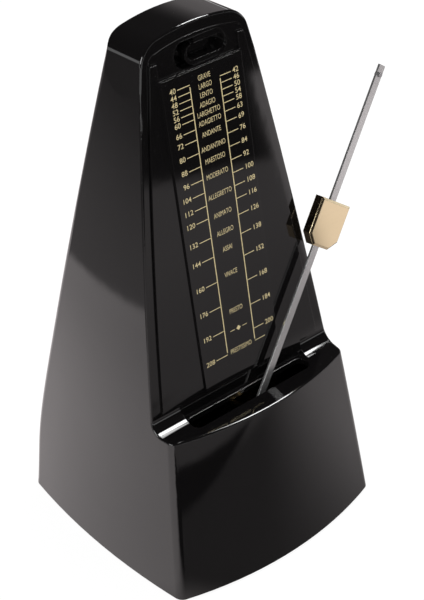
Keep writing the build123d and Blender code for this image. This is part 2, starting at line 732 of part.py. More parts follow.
def side_screw(side, seat, y, z, length):
    """Slotted screw driven in along X, its head on a face at x = seat."""
    out = seat + side * SMALL_HEAD_HEIGHT
    tip = seat - side * length
    screw = bar_x(SMALL_HEAD_RADIUS, *sorted((seat, out)), y, z)
    slot_x0, slot_x1 = sorted((out - side * SCREW_SLOT, out + side))
    half_slot = SCREW_SLOT / 2
    reach = SMALL_HEAD_RADIUS
    screw -= block(slot_x0, slot_x1, y - reach, y + reach, z - half_slot, z + half_slot)
    return screw + bar_x(SMALL_SCREW, *sorted((seat, tip)), y, z)


def make_plate_screws():
    seat = FRAME_HALF + FRAME_PLATE
    return [
        side_screw(side, side * seat, y, z, FRAME_PLATE + TAPPED_DEPTH - SCREW_TIP_GAP)
        for side in (-1, 1) for y, z in plate_screw_places()
    ]


def make_front_bridge():
    """Bent strap across the front of the movement that carries the verge."""
    out = FRAME_HALF + FRAME_PLATE
    strap = block(-out - BRIDGE_THICKNESS, out + BRIDGE_THICKNESS,
                  FRAME_FRONT - BRIDGE_THICKNESS, FRAME_FRONT, BRIDGE_LOW, FRAME_TOP)
    for side in (-1, 1):
        x0, x1 = sorted((side * out, side * (out + BRIDGE_THICKNESS)))
        strap += block(x0, x1, FRAME_FRONT, FRAME_FRONT + BRIDGE_TAB, BRIDGE_LOW, FRAME_TOP)
        for y, z in bridge_screw_places():
            strap -= bar_x(SMALL_SCREW, x0 - 1, x1 + 1, y, z)
    return strap - bar_y(VERGE_RADIUS + RUNNING_GAP, FRAME_FRONT - 5, FRAME_FRONT + 5)


def make_bridge_screws():
    seat = FRAME_HALF + FRAME_PLATE + BRIDGE_THICKNESS
    return [
        side_screw(side, side * seat, y, z, BRIDGE_THICKNESS + FRAME_PLATE)
        for side in (-1, 1) for y, z in bridge_screw_places()
    ]


def potence_low():
    return ESCAPE_AT[1] + POTENCE_ABOVE


def potence_screw_places():
    z = potence_low() - POTENCE_TAB_HEIGHT / 2
    inset = POTENCE_TAB_HEIGHT / 2
    return ((POTENCE_FRONT + inset, z), (VERGE_BACK - inset, z))


def make_potence():
    """Bracket on the left plate with the inner bearings of two arbors."""
    low = potence_low()
    top = low + POTENCE_HEIGHT
    tab_x1 = -FRAME_HALF + POTENCE_TAB
    finger_x1 = POTENCE_FINGER_X + POTENCE_FINGER
    finger_low = ESCAPE_AT[1] - POTENCE_FINGER_HALF
    bearing_front = VERGE_BACK - BEARING_THICKNESS
    bearing_low = verge_height(VERGE_BACK) - BEARING_HALF
    potence = block(-FRAME_HALF, finger_x1, POTENCE_FRONT, VERGE_BACK, low, top)
    potence += block(-FRAME_HALF, tab_x1, POTENCE_FRONT, VERGE_BACK, low - POTENCE_TAB_HEIGHT, low)
    potence += block(POTENCE_FINGER_X, finger_x1, -POTENCE_FINGER_HALF, POTENCE_FINGER_HALF, finger_low, low)
    potence -= bar_x(ESCAPE_PIVOT_RADIUS + RUNNING_GAP, 0, 2 * finger_x1, *ESCAPE_AT)
    potence += block(-BEARING_HALF, finger_x1, bearing_front, VERGE_BACK, bearing_low, low)
    potence -= bar_y(VERGE_RADIUS + RUNNING_GAP, bearing_front - 1, VERGE_BACK + 1)
    for y, z in potence_screw_places():
        potence -= bar_x(SMALL_SCREW, -FRAME_HALF - 1, tab_x1 + 1, y, z)
    return potence


def make_potence_screws():
    seat = -FRAME_HALF - FRAME_PLATE
    return [
        side_screw(-1, seat, y, z, FRAME_PLATE + POTENCE_TAB) for y, z in potence_screw_places()
    ]


# --------------------------------------------------------------- wheel train
def gear(teeth, phase, x0, x1, place):
    """Straight-cut wheel about X. A tooth points in the phase's direction."""
    pitch_radius = MODULE * teeth / 2
    root = pitch_radius - TOOTH_DEDENDUM * MODULE
    tip = pitch_radius + TOOTH_ADDENDUM * MODULE
    pitch = 360 / teeth
    points = []
    for tooth in range(teeth):
        middle = phase + tooth * pitch
        corners = (
            (root, -TOOTH_ROOT_SHARE), (tip, -TOOTH_TIP_SHARE),
            (tip, TOOTH_TIP_SHARE), (root, TOOTH_ROOT_SHARE),
        )
        for radius, share in corners:
            angle = radians(middle + share * pitch)
            points.append((place[0] + radius * cos(angle), place[1] + radius * sin(angle)))
    return prism_x(polygon(points), x0, x1)


def mating_phase(direction, teeth):
    """Phase that puts a tooth gap against the wheel that is met."""
    return direction + 180 + 180 / teeth


def make_great_wheel():
    phase = angle_between(BARREL_AT, SECOND_AT)
    wheel = gear(GREAT_TEETH, phase, BARREL_LEFT - GREAT_WHEEL_WIDTH, BARREL_LEFT, BARREL_AT)
    return wheel - bar_x(WINDING_RADIUS + RUNNING_GAP, BARREL_LEFT - 5, BARREL_LEFT + 1, *BARREL_AT)


def make_barrel_drum():
    drum = bar_x(BARREL_RADIUS, BARREL_LEFT, BARREL_RIGHT, *BARREL_AT)
    inner = BARREL_RADIUS - BARREL_WALL
    drum -= bar_x(inner, BARREL_LEFT + BARREL_WALL, BARREL_RIGHT + 1, *BARREL_AT)
    return drum - bar_x(WINDING_RADIUS + RUNNING_GAP, BARREL_LEFT - 1, BARREL_RIGHT, *BARREL_AT)


def make_barrel_cover():
    cover = bar_x(BARREL_RADIUS, BARREL_RIGHT, BARREL_RIGHT + BARREL_WALL, *BARREL_AT)
    return cover - bar_x(WINDING_RADIUS + RUNNING_GAP, BARREL_RIGHT - 1, BARREL_RIGHT + 5, *BARREL_AT)


def make_mainspring():
    """Flat strip wound in half turns about two centres."""
    y, z = BARREL_AT
    half_strip = SPRING_STRIP / 2
    edges = Curve()
    for turn in range(SPRING_HALF_TURNS):
        centre = (y + (SPRING_STEP if turn % 2 else 0), z)
        radius = SPRING_START + turn * SPRING_STEP
        start = 180 if turn % 2 else 0
        edges += CenterArc(centre, radius + half_strip, start, 180)
        edges += CenterArc(centre, radius - half_strip, start, 180)
    first = y + SPRING_START
    end_radius = SPRING_START + (SPRING_HALF_TURNS - 1) * SPRING_STEP
    last = y - end_radius if SPRING_HALF_TURNS % 2 else y + SPRING_STEP + end_radius
    edges += Line((first - half_strip, z), (first + half_strip, z))
    edges += Line((last - half_strip, z), (last + half_strip, z))
    return prism_x(make_face(edges), BARREL_LEFT + BARREL_WALL + SPRING_GAP, BARREL_RIGHT - SPRING_GAP)


def key_end():
    return bush_face() + KEY_GAP + KEY_COLLAR_LENGTH


def bush_face():
    """Outer face of the bush where the winding arbor leaves the case."""
    return side_at(BARREL_Y, BARREL_HEIGHT) + BUSH_PROUD


def bush_seat():
    return side_at(BARREL_Y, BARREL_HEIGHT) - BUSH_SEAT_DEPTH


def make_winding_arbor():
    arbor = bar_x(WINDING_RADIUS, -FRAME_HALF - FRAME_PLATE, key_end() - 1, *BARREL_AT)
    core_start = BARREL_LEFT + BARREL_WALL + SPRING_GAP
    return arbor + bar_x(WINDING_CORE_RADIUS, core_start, BARREL_RIGHT - SPRING_GAP, *BARREL_AT)


def make_second_arbor():
    phase = mating_phase(angle_between(BARREL_AT, SECOND_AT), SECOND_PINION_TEETH)
    out = FRAME_HALF + FRAME_PLATE
    shoulder = FRAME_HALF - END_SHAKE
    arbor = bar_x(TRAIN_SHAFT, -shoulder, shoulder, *SECOND_AT)
    arbor += bar_x(PIVOT_RADIUS, -out, out, *SECOND_AT)
    return arbor + gear(SECOND_PINION_TEETH, phase, PINION_LEFT, PINION_LEFT + PINION_WIDTH, SECOND_AT)


def make_second_wheel():
    phase = angle_between(SECOND_AT, ESCAPE_AT)
    x1 = SECOND_WHEEL_LEFT + WHEEL_WIDTH
    wheel = gear(SECOND_TEETH, phase, SECOND_WHEEL_LEFT, x1, SECOND_AT)
    wheel -= bar_x(TRAIN_SHAFT, SECOND_WHEEL_LEFT - 1, x1 + 1, *SECOND_AT)
    pitch_radius = MODULE * SECOND_TEETH / 2
    hole = pitch_radius * WHEEL_HOLE_SHARE
    hole_at = pitch_radius * WHEEL_HOLE_AT_SHARE
    for spoke in range(WHEEL_HOLES):
        angle = radians(360 / WHEEL_HOLES * (spoke + WHEEL_HOLE_PHASE))
        y = SECOND_AT[0] + hole_at * cos(angle)
        z = SECOND_AT[1] + hole_at * sin(angle)
        wheel -= bar_x(hole, SECOND_WHEEL_LEFT - 1, x1 + 1, y, z)
    return wheel


def make_escape_arbor():
    phase = mating_phase(angle_between(SECOND_AT, ESCAPE_AT), ESCAPE_PINION_TEETH)
    inner = POTENCE_FINGER_X + POTENCE_FINGER + END_SHAKE
    shoulder = FRAME_HALF - END_SHAKE
    arbor = bar_x(TRAIN_SHAFT, inner, shoulder, *ESCAPE_AT)
    arbor += bar_x(ESCAPE_PIVOT_RADIUS, POTENCE_FINGER_X, inner + 1, *ESCAPE_AT)
    arbor += bar_x(PIVOT_RADIUS, shoulder - 1, FRAME_HALF + FRAME_PLATE, *ESCAPE_AT)
    x1 = ESCAPE_PINION_LEFT + ESCAPE_PINION_WIDTH
    return arbor + gear(ESCAPE_PINION_TEETH, phase, ESCAPE_PINION_LEFT, x1, ESCAPE_AT)


def make_escape_wheel():
    """Crown wheel: its teeth stand along X and point at the verge."""
    web = CROWN_TIP + CROWN_TOOTH
    wheel = bar_x(CROWN_RADIUS, CROWN_TIP, web + CROWN_WEB, *ESCAPE_AT)
    wheel -= bar_x(CROWN_RADIUS - CROWN_RIM, CROWN_TIP - 1, web, *ESCAPE_AT)
    wheel -= bar_x(TRAIN_SHAFT, web - 1, web + 5, *ESCAPE_AT)
    pitch = 2 * CROWN_RADIUS * sin(radians(180 / CROWN_TEETH))
    gap_root = web - RUNNING_GAP
    gap = polygon([
        (-pitch * CROWN_GAP_STEEP, CROWN_TIP - 1), (pitch * CROWN_GAP_TIP, CROWN_TIP - 1),
        (pitch * CROWN_GAP_ROOT, gap_root), (-pitch * CROWN_GAP_STEEP, gap_root),
    ])
    flat = Plane(origin=(0, 0, CROWN_RADIUS - 2 * CROWN_RIM), x_dir=(0, 1, 0), z_dir=(0, 0, 1))
    cutter = extrude(flat * gap, amount=3 * CROWN_RIM)
    for tooth in range(CROWN_TEETH):
        turned = Rot(360 * tooth / CROWN_TEETH, 0, 0) * cutter
        wheel -= Pos(0, *ESCAPE_AT) * turned
    return wheel


def make_verge():
    """Pendulum arbor with the two pallets that the crown wheel pushes."""
    to_escape = hypot(PIVOT.Y, PIVOT.Z - ESCAPE_AT[1])
    back_end = (VERGE_BACK - PIVOT.Y) / cos(radians(LEAN_ANGLE))
    verge = round_bar(VERGE_RADIUS, (0, ROD_THICKNESS / 2, 0), (0, back_end, 0))
    for side in (-1, 1):
        middle = to_escape + side * (CROWN_RADIUS - CROWN_RIM / 2)
        pallet = block(0, PALLET_REACH, middle - PALLET_WIDTH / 2, middle + PALLET_WIDTH / 2,
                       -PALLET_THICKNESS / 2, PALLET_THICKNESS / 2)
        verge += Rot(0, -side * PALLET_ANGLE, 0) * pallet
    return on_rod(verge)


# ------------------------------------------------------------------ pendulum
def on_rod(shape):
    """Places a shape drawn about the pivot, upright, along the leaning rod."""
    return Location(PIVOT) * (Rot(-LEAN_ANGLE, 0, 0) * (Rot(0, REST_TILT, 0) * shape))


def rod_shape(extra=0.0, low=-ROD_BELOW, high=ROD_REACH):
    half = ROD_WIDTH / 2 + extra
    thick = ROD_THICKNESS / 2 + extra
    return block(-half, half, -thick, thick, low, high)


def make_pendulum_rod():
    return on_rod(rod_shape() - round_bar(STOP_RADIUS, (0, -5, STOP_AT), (0, 5, STOP_AT)))


def make_rod_stop():
    return on_rod(round_bar(STOP_RADIUS, (0, -STOP_LENGTH / 2, STOP_AT), (0, STOP_LENGTH / 2, STOP_AT)))


def make_pendulum_hub():
    half = HUB_LENGTH / 2
    hub = round_bar(HUB_RADIUS, (0, -half, 0), (0, half, 0))
    hub -= round_bar(VERGE_RADIUS, (0, ROD_THICKNESS / 2, 0), (0, half + 1, 0))
    hub -= round_bar(SMALL_SCREW, (0, -half - 1, 0), (0, -ROD_THICKNESS / 2, 0))
    return on_rod(hub - rod_shape())


def make_hub_screw():
    face = -HUB_LENGTH / 2
    out = face - SMALL_HEAD_HEIGHT
    screw = round_bar(SMALL_HEAD_RADIUS, (0, out, 0), (0, face, 0))
    reach = SMALL_HEAD_RADIUS
    screw -= block(-reach, reach, out - 1, out + SCREW_SLOT, -SCREW_SLOT / 2, SCREW_SLOT / 2)
    screw += round_bar(SMALL_SCREW, (0, face, 0), (0, -ROD_THICKNESS / 2, 0))
    return on_rod(screw)


def make_counterweight():
    half = COUNTERWEIGHT_THICKNESS / 2
    low = -COUNTERWEIGHT_AT
    disc = round_bar(COUNTERWEIGHT_RADIUS, (0, -half, low), (0, half, low))
    disc = chamfer(disc.edges().filter_by(GeomType.CIRCLE), COUNTERWEIGHT_CHAMFER)
    return on_rod(disc - rod_shape())


def weight_outline():
    half = WEIGHT_WIDTH / 2
    top = WEIGHT_HEIGHT / 2
    return polygon([
        (-half, top), (half, top), (half, -top + WEIGHT_CHAMFER),
        (half - WEIGHT_CHAMFER, -top), (-half + WEIGHT_CHAMFER, -top), (-half, -top + WEIGHT_CHAMFER),
    ])


def make_sliding_weight():
    body = prism_y(weight_outline(), -WEIGHT_FRONT, WEIGHT_BACK)
    body = chamfer(body.faces().sort_by(Axis.Y)[0].edges(), WEIGHT_BEVEL)
    channel = rod_shape(ROD_CLEARANCE, -WEIGHT_HEIGHT, WEIGHT_HEIGHT)
    room = ROD_THICKNESS / 2 + ROD_CLEARANCE
    half_rod = ROD_WIDTH / 2
    front = -room - WEIGHT_SPRING_ROOM
    channel += block(-half_rod, half_rod, front, 0, -WEIGHT_HEIGHT, WEIGHT_HEIGHT)
    return on_rod(Pos(0, 0, WEIGHT_AT) * (body - channel))


def make_weight_spring():
    """Leaf in front of the rod, inside the weight, that holds it where it is set."""
    near = -ROD_THICKNESS / 2 - ROD_CLEARANCE
    far = near - WEIGHT_SPRING_ROOM
    front = far + WEIGHT_SPRING_THICKNESS
    reach = WEIGHT_HEIGHT / 2 - WEIGHT_BEVEL
    half_leaf = ROD_WIDTH / 2 - 2 * ROD_CLEARANCE
    edges = Curve() + [
        ThreePointArc((front, -reach), (near, 0), (front, reach)),
        ThreePointArc((far, -reach), (near - WEIGHT_SPRING_THICKNESS, 0), (far, reach)),
        Line((front, -reach), (far, -reach)),
        Line((front, reach), (far, reach)),
    ]
    leaf = prism_x(make_face(edges), -half_leaf, half_leaf)
    return on_rod(Pos(0, 0, WEIGHT_AT) * leaf)


# -------------------------------------------------------- winding and ratchet
def about_barrel(radius, angle):
    return (BARREL_Y + radius * cos(radians(angle)), BARREL_HEIGHT + radius * sin(radians(angle)))


def click_pivot():
    return about_barrel(CLICK_PIVOT_RADIUS, CLICK_PIVOT_ANGLE)


def click_spring_place():
    return about_barrel(CLICK_PIVOT_RADIUS + CLICK_SPRING_OUT, CLICK_NOSE_ANGLE + CLICK_SPRING_TURN)


def ratchet_x():
    x0 = FRAME_HALF + FRAME_PLATE + RATCHET_OFF_PLATE
    return x0, x0 + RATCHET_WIDTH


def make_ratchet_wheel():
    """Saw-toothed wheel: each tooth rises slowly and falls straight in."""
    pitch = 360 / RATCHET_TEETH
    points = []
    for tooth in range(RATCHET_TEETH):
        start = CLICK_NOSE_ANGLE + tooth * pitch
        points.append(about_barrel(RATCHET_RADIUS, start))
        points.append(about_barrel(RATCHET_RADIUS - RATCHET_DEPTH, start))
    wheel = prism_x(polygon(points), *ratchet_x())
    return wheel - bar_x(WINDING_RADIUS, ratchet_x()[0] - 1, ratchet_x()[1] + 1, *BARREL_AT)


def click_back():
    """Outer edge of the click, from its crown down to the eye."""
    y, z = click_pivot()
    crown = about_barrel(RATCHET_RADIUS + CLICK_WIDTH, CLICK_NOSE_ANGLE + CLICK_CROWN_TURN)
    return crown, (y - CLICK_WIDTH / 2, z)


def make_click():
    """Pawl whose nose stands in a gap of the ratchet wheel."""
    y, z = click_pivot()
    nose_angle = CLICK_NOSE_ANGLE + degrees(CLICK_GAP / RATCHET_RADIUS)
    root = RATCHET_RADIUS - RATCHET_DEPTH
    arm = polygon([
        about_barrel(root + 3 * CLICK_GAP, nose_angle),
        about_barrel(RATCHET_RADIUS + CLICK_GAP, nose_angle),
        *click_back(),
        (y + CLICK_WIDTH / 2, z),
        about_barrel(RATCHET_RADIUS + 4 * CLICK_GAP, CLICK_NOSE_ANGLE + CLICK_INNER_TURN),
    ])
    x0, x1 = ratchet_x()
    click = prism_x(arm, x0, x1) + bar_x(CLICK_EYE, x0, x1, y, z)
    return click - bar_x(SMALL_SCREW + RUNNING_GAP, x0 - 1, x1 + 1, y, z)


def make_click_screw():
    """Shoulder screw that the click turns on."""
    seat = ratchet_x()[1] + CLICK_GAP
    return side_screw(1, seat, *click_pivot(), seat - FRAME_HALF)


def make_click_spring():
    """Leaf on a block that presses the click into the wheel."""
    y, z = click_spring_place()
    x0 = FRAME_HALF + FRAME_PLATE
    x1 = ratchet_x()[1]
    half = CLICK_SPRING_BLOCK / 2
    half_strip = CLICK_SPRING_STRIP / 2
    crown, eye = click_back()
    touch_y = crown[0] + (eye[0] - crown[0]) * CLICK_SPRING_TOUCH - CLICK_GAP
    touch_z = crown[1] + (eye[1] - crown[1]) * CLICK_SPRING_TOUCH
    leaf = polygon([
        (y, z - half_strip), (y, z + half_strip),
        (touch_y, touch_z + half_strip), (touch_y, touch_z - half_strip),
    ])
    spring = block(x0, x1, y - half, y + half, z - half, z + half)
    spring += prism_x(leaf, ratchet_x()[0], x1)
    return spring - bar_x(SMALL_SCREW, x0 - 1, x1 + 1, y, z)


def make_click_spring_screw():
    seat = ratchet_x()[1]
    return side_screw(1, seat, *click_spring_place(), seat - FRAME_HALF)


def make_winding_bush():
    """Collar in the right wall that the winding arbor passes through."""
    inner = side_at(BARREL_Y, BARREL_HEIGHT) - 2 * WALL
    bush = bar_x(BUSH_BODY_RADIUS, inner, bush_face(), *BARREL_AT)
    bush += bar_x(BUSH_RADIUS, bush_seat(), bush_face(), *BARREL_AT)
    return bush - bar_x(WINDING_RADIUS + RUNNING_GAP, inner - 1, bush_face() + 1, *BARREL_AT)


def make_winding_key():
    start = bush_face() + KEY_GAP
    end = key_end()
    key = bar_x(KEY_COLLAR_RADIUS, start, end, *BARREL_AT)
    bow = RectangleRounded(KEY_BOW_LENGTH, KEY_BOW_WIDTH, KEY_BOW_CORNER)
    bow_at = Pos(end + KEY_BOW_LENGTH / 2 - 1, BARREL_Y, BARREL_HEIGHT - KEY_BOW_THICKNESS / 2)
    key += extrude(bow_at * bow, amount=KEY_BOW_THICKNESS)
    return key - bar_x(WINDING_RADIUS, start - 1, end - 1, *BARREL_AT)


# ------------------------------------------------------------------ main list
PARTS = {
    "case_shell": make_case_shell,
    "front_panel": make_front_panel,
    "scale_plate": make_scale_plate,
    "pendulum_rest": make_pendulum_rest,
    "base_plate": make_base_plate,
    "rubber_feet": make_feet,
    "base_screws": make_base_screws,
    "movement_screws": make_movement_screws,
    "left_movement_plate": lambda: make_movement_plate(-1),
    "right_movement_plate": lambda: make_movement_plate(1),
    "lower_frame_bars": make_lower_bars,
    "upper_pillars": make_upper_pillars,
    "plate_screws": make_plate_screws,
    "front_bridge": make_front_bridge,
    "bridge_screws": make_bridge_screws,
    "potence": make_potence,
    "potence_screws": make_potence_screws,
    "great_wheel": make_great_wheel,
    "barrel_drum": make_barrel_drum,
    "barrel_cover": make_barrel_cover,
    "mainspring": make_mainspring,
    "winding_arbor": make_winding_arbor,
    "second_arbor": make_second_arbor,
    "second_wheel": make_second_wheel,
    "escape_arbor": make_escape_arbor,
    "escape_wheel": make_escape_wheel,
    "pallet_arbor": make_verge,
    "pendulum_hub": make_pendulum_hub,
    "hub_screw": make_hub_screw,
    "pendulum_rod": make_pendulum_rod,
    "rod_stop": make_rod_stop,
    "counterweight": make_counterweight,
    "sliding_weight": make_sliding_weight,
    "weight_spring": make_weight_spring,
    "ratchet_wheel": make_ratchet_wheel,
    "click": make_click,
    "click_screw": make_click_screw,
    "click_spring": make_click_spring,
    "click_spring_screw": make_click_spring_screw,
    "winding_bush": make_winding_bush,
    "winding_key": make_winding_key,
}


def all_solids(pieces):
    """One shape with every solid of a node."""
    if not isinstance(pieces, list):
        pieces = [pieces]
    return Compound([solid for piece in pieces for solid in piece.solids()])


os.makedirs("parts", exist_ok=True)
for name, make in PARTS.items():
    export_step(all_solids(make()), os.path.join("parts", name + ".step"))
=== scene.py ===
"""Looks of a mechanical pyramid metronome that stands with its front cover taken off."""
import json
from math import cos, radians, sin

import bmesh
import bpy
from mathutils import Matrix, Vector


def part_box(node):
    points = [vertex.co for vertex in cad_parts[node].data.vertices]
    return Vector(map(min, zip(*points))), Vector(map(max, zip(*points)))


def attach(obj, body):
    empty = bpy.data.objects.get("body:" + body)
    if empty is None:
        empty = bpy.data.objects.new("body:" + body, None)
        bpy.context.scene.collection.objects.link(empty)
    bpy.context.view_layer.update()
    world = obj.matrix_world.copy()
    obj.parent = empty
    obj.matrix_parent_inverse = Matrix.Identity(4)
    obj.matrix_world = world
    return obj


MM = 0.001

# -------------------------------------------------------------------- camera
CAMERA_AZIMUTH = -40.922
CAMERA_ELEVATION = 35.744
CAMERA_ROLL = -0.288
CAMERA_DISTANCE = 702.71 * MM
CAMERA_TARGET = Vector((5.663, 0, 94.513)) * MM
CAMERA_LENS = 106.45
CAMERA_SHIFT_Y = -0.0036
CAMERA_CLIP = (0.01, 30)
SENSOR = 36.0

# ------------------------------------------------------------- printed scale
LEAN = 0.19                      # the front leans back by this much per unit of height
SCALE_CENTRE = 0.5 * MM
LEFT_LINE = -6.5 * MM
RIGHT_LINE = 7.7 * MM
LINE_WIDTH = 0.42 * MM
TICK_WIDTH = 0.3 * MM
LEFT_TICK_END = -12.3 * MM
RIGHT_TICK_END = 13.0 * MM
LEFT_NUMBER_END = -13.0 * MM
RIGHT_NUMBER_START = 13.8 * MM
SLOWEST = 40
SLOWEST_HEIGHT = 195.5 * MM
HEIGHT_PER_BEAT = 0.654 * MM
NUMBER_SIZE = 2.9 * MM
WORD_SIZE = 2.9 * MM
NUMBER_SQUEEZE = 1.0             # width of the letters as a share of their usual width
WORD_SQUEEZE = 0.66
NUMBER_SPREAD = 0.004            # how far the strokes are widened, as a share of the size
WORD_SPREAD = -0.003
INK = 0.02 * MM
LEFT_NUMBERS = [
    40, 44, 48, 52, 56, 60, 66, 72, 80, 88,
    96, 104, 112, 120, 132, 144, 160, 176, 192, 208,
]
RIGHT_NUMBERS = [
    42, 46, 50, 54, 58, 63, 69, 76, 84, 92,
    100, 108, 116, 126, 138, 152, 168, 184, 200,
]
# each tempo word and the height of its middle, in millimetres
WORDS = {
    "GRAVE": 196.5, "LARGO": 193.2, "LENTO": 189.9, "ADAGIO": 186.4, "LARGHETTO": 183.0,
    "ADAGIETTO": 179.6, "ANDANTE": 175.2, "ANDANTINO": 169.7, "MAESTOSO": 164.8,
    "MODERATO": 158.7, "ALLEGRETTO": 150.6, "ANIMATO": 142.8, "ALLEGRO": 135.4,
    "ASSAI": 128.4, "VIVACE": 118.0, "PRESTO": 102.5, "PRESTISSIMO": 85.9,
}
ORNAMENT_HEIGHT = 94.5 * MM
RULE_START = 1.9 * MM
RULE_LENGTH = 2.4 * MM
RULE_WIDTH = 0.24 * MM
LOZENGE_RADIUS = 1.1 * MM

# ------------------------------------------------------------------ materials
BLACK = (0.0042, 0.0038, 0.0040)
DUST = (0.05, 0.05, 0.05)
STEEL = (0.60, 0.60, 0.61)
DULL_STEEL = (0.42, 0.42, 0.43)
BRASS = (0.80, 0.58, 0.27)
DULL_BRASS = (0.56, 0.38, 0.16)
CASE_ROUNDING = 0.3 * MM
PANEL_ROUNDING = 0.12 * MM
PLATE_ROUNDING = 0.08 * MM
ALONG_Z = (1, 1, 0.03)           # stretches that draw a grain out along one axis
ALONG_X = (0.03, 1, 1)
ALONG_ARBOR = (0.4, 1, 1)
ROD_TURN = (0, radians(-36.1), 0)      # the leaning rod's own axes

# --------------------------------------------------------------------- studio
# A ramp is (start, end, low, high), or (start, end) for a ramp from 0 to 1.
TABLE_HALF = 4.0
TABLE_GLOW = 0.93
TABLE_GREY = (0.14, 0.14, 0.14, 1)     # the part of its white that takes shadows
BOUNCE_GREY = (0.8, 0.8, 0.8, 1)
FLAG_HEIGHT = 1.1
FLAG_HALF = 8.0
FLAG_BACK_RIGHT = (0.62, 0.78)   # direction in which the black cloth gets paler
FLAG_RAMP = (1.8, 3.6, 0.03, 0.4)
WORLD_LIGHT = 0.44
WORLD_SEEN = 1.0
REFLECTED_TINT = (1, 0.93, 0.935)
LAMP_AIM = Vector((0, 0, 0.1))
# direction of each lamp from the object, its distance, its sides and its power
SOFTBOXES = {
    "top_softbox": ((0.53, 0.02, 0.85), 0.95, (0.42, 0.18), 4.5),
    "left_softbox": ((-0.85, -0.2, 0.5), 1.2, (0.7, 0.4), 5),
}

# What the polished faces mirror of the table. Places are in metres from its middle.
FRONT_SKEW = 0.6                 # the dim part in front widens to the right further out
FRONT_SKEW_START = 0.08
FRONT_RAMP = (0.0, 0.13, 0.12, 0.62)
FURTHER_RAMP = (0.2, 0.42, 0.27, 0.36)
FURTHER_START = (0.175, 0.2)
CARD_SLOPE = -0.735              # a bright card to the right of the further stretch
CARD_EDGE = (0.034, 0.04)
CARD_START = (0.2, 0.24)
CARD_GLOW = 0.95
OUTWARD = (0.655, -0.755)        # towards the front right, where the table ends
OUTWARD_END = (0.60, 0.64)
CARD_REACH = 0.3                 # how much further out the table ends beside the card
BEYOND_GLOW = 0.03
RIGHT_START = (-0.02, 0.03)
RIGHT_GLOW = 0.04
LEFTWARD = (-0.824, 0.566)       # away from the left face
LEFT_BACK_RAMP = (-0.03, 0.2, 1.0, 1.6)
LEFT_RAMP = (0.1, 0.27, 1.0, 0.64)
LEFT_END = (0.288, 0.302)
LEFT_FAR_RAMP = (0.3, 0.75, 0.34, 0.12)
SIDES_MEET = (-0.03, 0.03)
DARK_START = 0.12                # a dark curved strip in front, to the left of the card
DARK_BEND = 11.1
DARK_POWER = 1.7
DARK_WIDTH = 0.15
DARK_SIDE = -0.058
DARK_EDGE = (0.014, -0.004)
DARK_FRONT = (0.0, 0.03)
DARK_END = (0.207, 0.195)
DARK_GLOW = 0.02


# ------------------------------------------------------------- node helpers
def link(tree, source, target):
    """Joins an output socket to an input socket."""
    tree.links.new(source, target)


def node(tree, kind, **values):
    """A new node of a kind, with its settings."""
    made = tree.nodes.new(kind)
    for name, value in values.items():
        setattr(made, name, value)
    return made


def set_inputs(made, values):
    """Sets input sockets of a node by name."""
    for name, value in values.items():
        made.inputs[name].default_value = value


def calculate(tree, operation, first, second=None, third=None):
    """One Math node. Each operand is a socket or a number."""
    made = node(tree, "ShaderNodeMath", operation=operation)
    for place, operand in enumerate((first, second, third)):
        if operand is None:
            continue
        if isinstance(operand, (int, float)):
            made.inputs[place].default_value = operand
        else:
            link(tree, operand, made.inputs[place])
    return made.outputs[0]


def along(tree, x, y, direction):
    """How far a place lies along a direction on the table."""
    first = calculate(tree, "MULTIPLY", x, direction[0])
    second = calculate(tree, "MULTIPLY", y, direction[1])
    return calculate(tree, "ADD", first, second)


def ease(tree, value, start, end, low=0.0, high=1.0):
    """Smooth step of a value from start to end, giving low to high."""
    made = node(tree, "ShaderNodeMapRange", interpolation_type="SMOOTHSTEP")
    link(tree, value, made.inputs["Value"])
    set_inputs(made, {"From Min": start, "From Max": end, "To Min": low, "To Max": high})
    return made.outputs["Result"]


def spread(tree, value, low, high):
    """A 0 to 1 value spread over another range."""
    made = node(tree, "ShaderNodeMapRange")
    link(tree, value, made.inputs["Value"])
    set_inputs(made, {"To Min": low, "To Max": high})
    return made.outputs["Result"]


def blend_values(tree, share, first, second):
    """The first value where the share is 0, the second where it is 1."""
    made = node(tree, "ShaderNodeMix", data_type="FLOAT")
    link(tree, share, made.inputs[0])
    for place, operand in ((2, first), (3, second)):
        if isinstance(operand, (int, float)):
            made.inputs[place].default_value = operand
        else:
            link(tree, operand, made.inputs[place])
    return made.outputs[0]


def blend_colours(tree, share, first, second):
    """The first colour where the share is 0, the second where it is 1."""
    made = node(tree, "ShaderNodeMix", data_type="RGBA")
    link(tree, share, made.inputs[0])
    made.inputs[6].default_value = (*first, 1)
    made.inputs[7].default_value = (*second, 1)
    return made.outputs[2]


def places(tree, stretch=(1, 1, 1), turn=(0, 0, 0)):
    """Object coordinates in metres, stretched and turned."""
    coordinates = node(tree, "ShaderNodeTexCoord")
    mapping = node(tree, "ShaderNodeMapping")
    mapping.inputs["Scale"].default_value = stretch
    mapping.inputs["Rotation"].default_value = turn
    link(tree, coordinates.outputs["Object"], mapping.inputs["Vector"])
    return mapping.outputs["Vector"]


def noise(tree, scale, detail, stretch=(1, 1, 1), turn=(0, 0, 0)):
    """Cloudy pattern from 0 to 1, with so many clouds to the metre."""
    made = node(tree, "ShaderNodeTexNoise")
    set_inputs(made, {"Scale": scale, "Detail": detail})
    link(tree, places(tree, stretch, turn), made.inputs["Vector"])
    return made.outputs["Fac"]


def specks(tree, scale, size):
    """1 on small scattered specks, 0 between them."""
    made = node(tree, "ShaderNodeTexVoronoi")
    made.inputs["Scale"].default_value = scale
    link(tree, places(tree), made.inputs["Vector"])
    return ease(tree, made.outputs["Distance"], size, size * 0.6)


